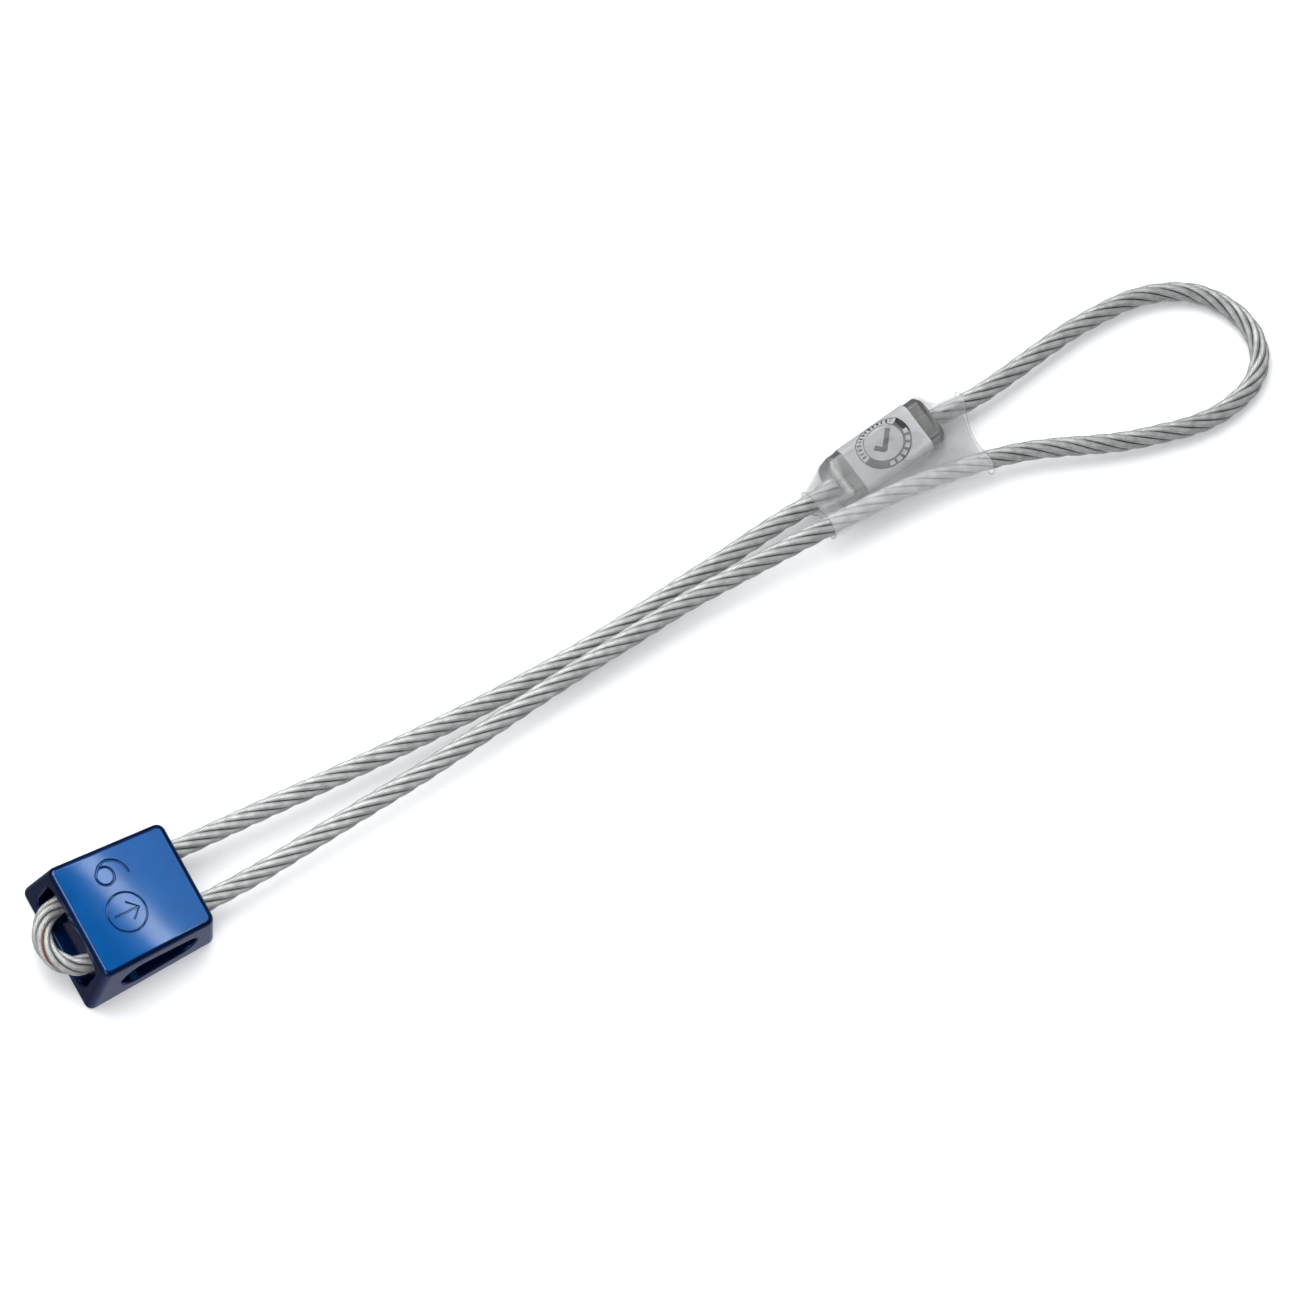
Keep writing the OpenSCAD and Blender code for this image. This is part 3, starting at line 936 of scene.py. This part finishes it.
class NUT_OT_head(bpy.types.Operator):
    """Adds the anodised head with its window, pocket, wire holes and engraving"""

    bl_idname = "wired_nut.head"
    bl_label = "Nut head"

    def execute(self, context):
        head = sizes("head")
        obj = wedge(head)
        cut(obj, window_cutter(head), pocket_cutter(head), leg_cutter(1), leg_cutter(-1))
        groove = head.groove
        cut(
            obj,
            stroke_cutter(head, circle(*SIX_BOWL), True, groove),
            stroke_cutter(head, through(SIX_STEM, 0.2), False, groove),
            stroke_cutter(head, circle(*SIGN_RING), True, groove * 0.8),
            *[stroke_cutter(head, s, False, groove * 0.8) for s in SIGN_STROKES],
        )
        outward(obj)
        mark_faces(obj, head)
        smooth(obj)
        finish_piece(obj, anodised_blue(), "head", "anodised_blue", "chock_head")
        return {"FINISHED"}


# --- the ferrule, its label and the sleeve -----------------


def to_ferrule(obj):
    """Carries a piece made at the origin to the ferrule's place."""
    obj.location = FERRULE_AT * MM
    obj.rotation_euler = (0, 0, FERRULE_TURN)
    return settle(obj)


def bar(name, length_, width, thick, bevel, segments):
    """A block along X with rounded bevels on its four long edges."""
    deselect()
    bpy.ops.mesh.primitive_cube_add(size=1, scale=(length_, width, thick))
    obj = settle(named(name))
    edit()
    pick("edges", lambda e: abs(middle(e).y) > 0.4 * width and abs(middle(e).z) > 0.4 * thick)
    round_edges(bevel, segments, 0.35)
    leave()
    return obj


class NUT_OT_ferrule(bpy.types.Operator):
    """Adds the pressed ferrule"""

    bl_idname = "wired_nut.ferrule"
    bl_label = "Pressed ferrule"

    def execute(self, context):
        ferrule = sizes("ferrule")
        half = ferrule.length / 2
        obj = bar("pressed_ferrule", ferrule.length, ferrule.width, ferrule.thick, ferrule.bevel, 3)
        edit()
        for end in (-1, 1):
            bpy.ops.mesh.select_all(action="SELECT")
            bpy.ops.mesh.bisect(plane_co=(end * (half - ferrule.end_bevel), 0, 0), plane_no=(1, 0, 0))
        pick("verts", lambda v: abs(v.co.x) > half - 0.1 * MM)
        narrow = 1 - 2 * ferrule.end_bevel / ferrule.width
        flat = 1 - ferrule.end_bevel / ferrule.thick
        bpy.ops.transform.resize(value=(1, narrow, flat), center_override=(0, 0, 0))
        leave()
        deselect()
        bpy.ops.mesh.primitive_cylinder_add(
            vertices=40, radius=ferrule.bore / 2, depth=2 * ferrule.length, rotation=(0, math.pi / 2, 0)
        )
        cut(obj, settle(named("bore")))
        apply_modifier(
            obj, "BEVEL", width=0.28 * MM, segments=3, limit_method="ANGLE", angle_limit=math.radians(24)
        )
        outward(obj)
        edge = [
            float(max(abs(n) for n in face.normal) < 0.96)
            for face in obj.data.polygons
            for _ in range(face.loop_total)
        ]
        keep(obj, "edge", "CORNER", edge)
        smooth(to_ferrule(obj))
        finish_piece(obj, pressed_metal(), "sling", "pressed_ferrule", "ferrule")
        return {"FINISHED"}


LABEL_GAP = 0.04 * MM
# The print, in millimetres: its two rings, where its middle lies, how far it is squashed across the
# ferrule, and how far it starts above the label before it is laid on it
PRINT_RING = 4.75
PRINT_INNER = 3.4
PRINT_AT = (0.1, 0.9)
PRINT_SQUASH = 0.85
PRINT_CLEAR = 0.4


def annulus(inner, outer, start, end, steps=None):
    """Quads of part of a flat ring, in millimetres, with angles in degrees."""
    steps = steps or max(2, round((end - start) / 3))
    angles = np.radians(np.linspace(start, end, steps + 1))
    radii = (inner, (inner + outer) / 2, outer)
    points = [(r * math.cos(a), r * math.sin(a), 0) for a in angles for r in radii]
    faces = [(3 * i + j, 3 * i + j + 1, 3 * i + j + 4, 3 * i + j + 3) for i in range(steps) for j in (0, 1)]
    return points, faces


def thick_stroke(points, width, steps=8):
    """Quads along a flat stroke, in millimetres."""
    line = np.array(through(points, 0.15) if len(points) > 2 else points, float)
    if len(line) == 2:
        t = np.linspace(0, 1, steps + 1)[:, None]
        line = line[0] * (1 - t) + line[1] * t
    ways = unit(np.gradient(line, axis=0))
    side = np.stack([-ways[:, 1], ways[:, 0]], axis=1) * width / 2
    pts = [(*p, 0) for a, b in zip(line - side, line + side) for p in (a, b)]
    faces = [(2 * i, 2 * i + 2, 2 * i + 3, 2 * i + 1) for i in range(len(line) - 1)]
    return pts, faces


def print_shapes():
    """The label's print: two rings, a dark arc with pale blocks, dark blocks and a plain check mark."""
    shapes = [
        annulus(PRINT_RING - 0.16, PRINT_RING, 0, 360, 120),
        annulus(PRINT_INNER - 0.12, PRINT_INNER, 0, 360, 100),
        annulus(PRINT_INNER, PRINT_RING, 6, 30),
        annulus(PRINT_INNER, PRINT_RING, 195, 252),
    ]
    for angle in range(252, 366, 19):
        shapes.append(annulus(PRINT_INNER, PRINT_INNER + 0.28, angle, angle + 12))
        shapes.append(annulus(PRINT_RING - 0.3, PRINT_RING, angle, angle + 12))
        shapes.append(annulus(PRINT_INNER, PRINT_RING, angle + 12, angle + 19))
    for i, angle in enumerate(range(42, 186, 11)):
        shapes.append(annulus(3.72, 4.4, angle - 2 - i % 2, angle + 2, 2))
    shapes.append(thick_stroke([(-1.76, 0.11), (-0.5, -1.38)], 0.88))
    shapes.append(thick_stroke([(-0.75, -1.43), (1.93, 1.7)], 0.88))
    return shapes


def wrapped(x, y, width, top, bevel):
    """A flat place on the label's front carried round its rounded shoulders."""
    flat = width / 2 - bevel
    past = max(0.0, abs(y) - flat)
    down = past * math.sin(math.pi / 4)
    return x, math.copysign(min(abs(y), flat) + past * math.cos(math.pi / 4), y), top - down


class NUT_OT_label(bpy.types.Operator):
    """Adds the printed label round the ferrule"""

    bl_idname = "wired_nut.label"
    bl_label = "Printed label"

    def execute(self, context):
        ferrule = sizes("ferrule")
        out = LABEL_GAP + ferrule.film
        width, thick = ferrule.width + 2 * out, ferrule.thick + 2 * out
        bevel = ferrule.bevel + out * (2 - math.sqrt(2))
        obj = bar("label_band", ferrule.label_length, width, thick, bevel, 3)
        edit()
        pick("faces", lambda p: abs(p.normal.x) > 0.9)
        bpy.ops.mesh.delete(type="FACE")
        leave()
        apply_modifier(obj, "SOLIDIFY", thickness=ferrule.film, offset=-1, use_even_offset=True)
        smooth(to_ferrule(outward(obj)), 40)
        finish_piece(obj, label_film(), "sling", "printed_label", "label")
        self.print(obj, width, thick, bevel)
        return {"FINISHED"}

    def print(self, band, width, thick, bevel):
        points, faces = [], []
        width, top = width / MM + 2 * PRINT_CLEAR, thick / MM / 2 + PRINT_CLEAR
        for pts, quads in print_shapes():
            base = len(points)
            for x, y, _ in pts:
                flat = x + PRINT_AT[0], y * PRINT_SQUASH + PRINT_AT[1]
                points.append(Vector(wrapped(*flat, width, top, bevel / MM)) * MM)
            faces += [[base + i for i in q] for q in quads]
        obj = to_ferrule(mesh_piece("label_print", points, faces))
        apply_modifier(
            obj, "SHRINKWRAP", target=band, wrap_method="NEAREST_SURFACEPOINT", wrap_mode="ABOVE_SURFACE",
            offset=0.012 * MM,
        )
        apply_modifier(obj, "SOLIDIFY", thickness=0.015 * MM, offset=1)
        outward(obj)
        finish_piece(obj, label_ink(), "sling", "printed_label")


# Cross-sections along the ferrule: distance from its middle, half width, half thickness, bevel, roundness
SECTIONS = np.array([
    (-17, 1.6, 1.6, 0.9, 1), (-13.8, 1.62, 1.62, 0.9, 1), (-11.2, 2.9, 2.4, 0.9, 0.5),
    (-8.8, 4.1, 3.2, 1.1, 0), (8.8, 4.1, 3.2, 1.1, 0), (9.9, 2.6, 2.35, 0.9, 0.3),
    (12, 1.62, 1.62, 0.9, 1), (17, 1.6, 1.6, 0.9, 1),
])
SLEEVE_FROM, SLEEVE_TO = 125.4, 155.4
SLEEVE_STEP = 0.5
ARC_POINTS, WEB_POINTS = 22, 9
# Gap between the film's middle and what it holds, and how its ends are drawn in and slanted
SLEEVE_MARGIN, SLEEVE_SLANT = 0.24, -1.3
START_HOLLOW, END_HOLLOW = 0.5, -0.6
# How far the film is pinched in between the legs, from 0 to 1, at places along the sling
PINCH_AT, PINCH = [126, 131, 139, 147, 150, 153], [0.7, 0.45, 0.5, 0.6, 0.8, 0.86]
ROPE_RADIUS = 1.6
# The stretch of the rope that runs beside the ferrule: along X, and along the rope
BESIDE_X, BESIDE_ALONG = (100, 165), (200, 345)
# The sleeve's film on the ferrule, on the legs, free between them, and its cut ends: cover and tone. The
# free film's darker tone is painted shade.
FILMS = [
    ("clear_sleeve", 0.035, 0.3), ("milky_sleeve", 0.17, 0.8), ("loose_sleeve", 0.2, 0.42),
    ("sleeve_edge", 0.5, 0.25),
]


def section_at(x):
    """Half width, half thickness, bevel and roundness of what the sleeve holds at a place along it."""
    along = (x - FERRULE_AT.x) / math.cos(FERRULE_TURN)
    return [float(np.interp(along, SECTIONS[:, 0], SECTIONS[:, k])) for k in range(1, 5)]


def between(values, low, high):
    return (values > low) & (values < high)


def leg_point(x, first):
    """Y and Z of the rope beside or in the ferrule, on the leg that is asked for."""
    half = len(LINE) // 2
    if first:
        if abs(x - FERRULE_AT.x) < FERRULE_MOUTH:
            return np.array([FERRULE_AT.y + (x - FERRULE_AT.x) * math.tan(FERRULE_TURN), FERRULE_AT.z])
        part = LINE[:half // 2] if x < FERRULE_AT.x else LINE[-half // 4:]
    else:
        part = LINE[between(LINE[:, 0], *BESIDE_X) & between(ALONG, *BESIDE_ALONG)]
    order = np.argsort(part[:, 0])
    return np.array([np.interp(x, part[order, 0], part[order, k]) for k in (1, 2)])


def octagon_radius(angle, a, b, bevel):
    c, s = abs(math.cos(angle)), abs(math.sin(angle))
    return 1 / max(c / a, s / b, (c + s) / (a + b - bevel))


def hull(points):
    """Convex hull of flat labelled points, anticlockwise."""
    points = sorted(points)

    def half(run):
        kept = []
        for p in run:
            while len(kept) > 1 and (kept[-1][0] - kept[-2][0]) * (p[1] - kept[-2][1]) <= (
                kept[-1][1] - kept[-2][1]
            ) * (p[0] - kept[-2][0]):
                kept.pop()
            kept.append(p)
        return kept[:-1]

    return half(points) + half(points[::-1])


def evenly(points, count):
    """count points evenly along a flat run of points."""
    run = np.array(points, float)
    at = distances(run)
    where = np.linspace(0, at[-1], count)
    return np.stack([np.interp(where, at, run[:, k]) for k in (0, 1)], axis=1)


def sleeve_ring(x, margin, pinch, hollow, slant):
    """One ring of the sleeve, round the ferrule or upper leg and the lower leg, as rows of X, Y and Z."""
    a, b, bevel, roundness = section_at(x)
    upper, lower = leg_point(x, True), leg_point(x, False)
    samples = []

    def held(angle):
        return (1 - roundness) * octagon_radius(angle, a, b, bevel) + roundness * a

    for t in 2 * math.pi * (np.arange(96) + 0.5) / 96:
        for which, centre, r in ((0, upper, held(t) + margin), (1, lower, ROPE_RADIUS + margin)):
            samples.append((centre[0] + r * math.cos(t), centre[1] + r * math.sin(t), which))
    outline = hull(samples)
    n = len(outline)
    starts = [i for i in range(n) if outline[i][2] == 0 and outline[i - 1][2] == 1]
    outline = outline[starts[0]:] + outline[:starts[0]]
    split = next(i for i in range(n) if outline[i][2] == 1)
    arc_a = evenly([p[:2] for p in outline[:split]], ARC_POINTS)
    arc_b = evenly([p[:2] for p in outline[split:]], ARC_POINTS)
    share = (np.arange(WEB_POINTS) + 1) / (WEB_POINTS + 1)

    def web(start, end, other_start, other_end):
        points = start + (end - start) * share[:, None]
        facing = other_start + (other_end - other_start) * share[:, None]
        pulled = []
        for p, q, s in zip(points, facing, share):
            most = 0.5 * pinch * math.sin(math.pi * s) ** 0.6
            for amount in np.linspace(most, 0, 12):
                at = p + (q - p) * amount
                off_lower = np.linalg.norm(at - lower) - ROPE_RADIUS
                d = at - upper
                if off_lower >= margin and np.linalg.norm(d) - held(math.atan2(d[1], d[0])) >= margin:
                    break
            pulled.append(at)
        return np.array(pulled)

    first = web(arc_a[-1], arc_b[0], arc_a[0], arc_b[-1])
    second = web(arc_b[-1], arc_a[0], arc_b[0], arc_a[-1])
    bow = hollow * np.sin(np.pi * share)
    still, slanted = np.zeros(ARC_POINTS), np.full(ARC_POINTS, slant)
    shifts = [still, bow + slant * share, slanted, bow + slant * (1 - share)]
    parts = zip((arc_a, first, arc_b, second), shifts)
    return [(x + dx, y, z) for part, shift in parts for (y, z), dx in zip(part, shift)]


class NUT_OT_sleeve(bpy.types.Operator):
    """Adds the clear shrink sleeve round the ferrule and the leg beside it"""

    bl_idname = "wired_nut.sleeve"
    bl_label = "Shrink sleeve"

    def execute(self, context):
        ferrule = sizes("ferrule")
        rings = []
        for x in np.arange(SLEEVE_FROM, SLEEVE_TO + 0.01, SLEEVE_STEP):
            pinch = float(np.interp(x, PINCH_AT, PINCH))
            near_end = float(np.interp(x, [150, SLEEVE_TO], [0, 1]))
            near_start = float(np.interp(x, [SLEEVE_FROM, 129], [1, 0]))
            hollow = END_HOLLOW * near_end + START_HOLLOW * near_start
            rings.append(sleeve_ring(x, SLEEVE_MARGIN, pinch, hollow, SLEEVE_SLANT * near_end))
        sides = len(rings[0])
        points = np.array(rings).reshape(-1, 3)
        obj = mesh_piece("shrink_sleeve_film", points * MM, tube_faces(len(rings), sides, False))
        for name, cover, tone in FILMS:
            obj.data.materials.append(clear_film(name, cover, (tone, 1.02 * tone, 1.03 * tone)))
        for face in obj.data.polygons:
            at = face.index % sides
            along = SLEEVE_FROM + SLEEVE_STEP * (face.index // sides) - FERRULE_AT.x
            on_ferrule = at < ARC_POINTS - 1 and abs(along) < 8.5
            on_leg = ARC_POINTS + WEB_POINTS - 1 <= at < 2 * ARC_POINTS + WEB_POINTS
            on_leg = on_leg or at < ARC_POINTS - 1 and along > 10
            face.material_index = 0 if on_ferrule else 1 if on_leg else 2
        outward(obj)
        apply_modifier(obj, "SMOOTH", factor=0.4, iterations=2)
        apply_modifier(
            obj, "SOLIDIFY", thickness=ferrule.sleeve_wall, offset=1, use_even_offset=True,
            material_offset_rim=len(FILMS),
        )
        obj.data.shade_smooth()
        finish_piece(obj, None, "sling", "clear_sleeve", "shrink_sleeve")
        return {"FINISHED"}


# --- add-on ------------------------------------------------

STEPS = ("stage", "rope", "head", "ferrule", "label", "sleeve")
GROUPS = {"head": HeadSizes, "rope": RopeSizes, "ferrule": FerruleSizes, "stage": StageSizes}


class NUT_PT_panel(bpy.types.Panel):
    """Lists the steps that build the nut, with its sizes and colours"""

    bl_idname = "NUT_PT_panel"
    bl_label = "Wired Nut"
    bl_space_type = "VIEW_3D"
    bl_region_type = "UI"
    bl_category = "Wired Nut"

    def draw(self, context):
        for step in STEPS:
            self.layout.operator("wired_nut." + step)
        for name, group in GROUPS.items():
            box = self.layout.box()
            box.label(text=name.title())
            for key in group.__annotations__:
                box.prop(getattr(context.scene, "wired_nut_" + name), key)


CLASSES = (
    *GROUPS.values(),
    NUT_OT_stage,
    NUT_OT_rope,
    NUT_OT_head,
    NUT_OT_ferrule,
    NUT_OT_label,
    NUT_OT_sleeve,
    NUT_PT_panel,
)


def register():
    for cls in CLASSES:
        bpy.utils.register_class(cls)
    for name, group in GROUPS.items():
        setattr(bpy.types.Scene, "wired_nut_" + name, bpy.props.PointerProperty(type=group))


def unregister():
    for name in GROUPS:
        delattr(bpy.types.Scene, "wired_nut_" + name)
    for cls in reversed(CLASSES):
        bpy.utils.unregister_class(cls)


def main():
    register()
    for step in STEPS:
        getattr(bpy.ops.wired_nut, step)()


if __name__ == "__main__":
    main()
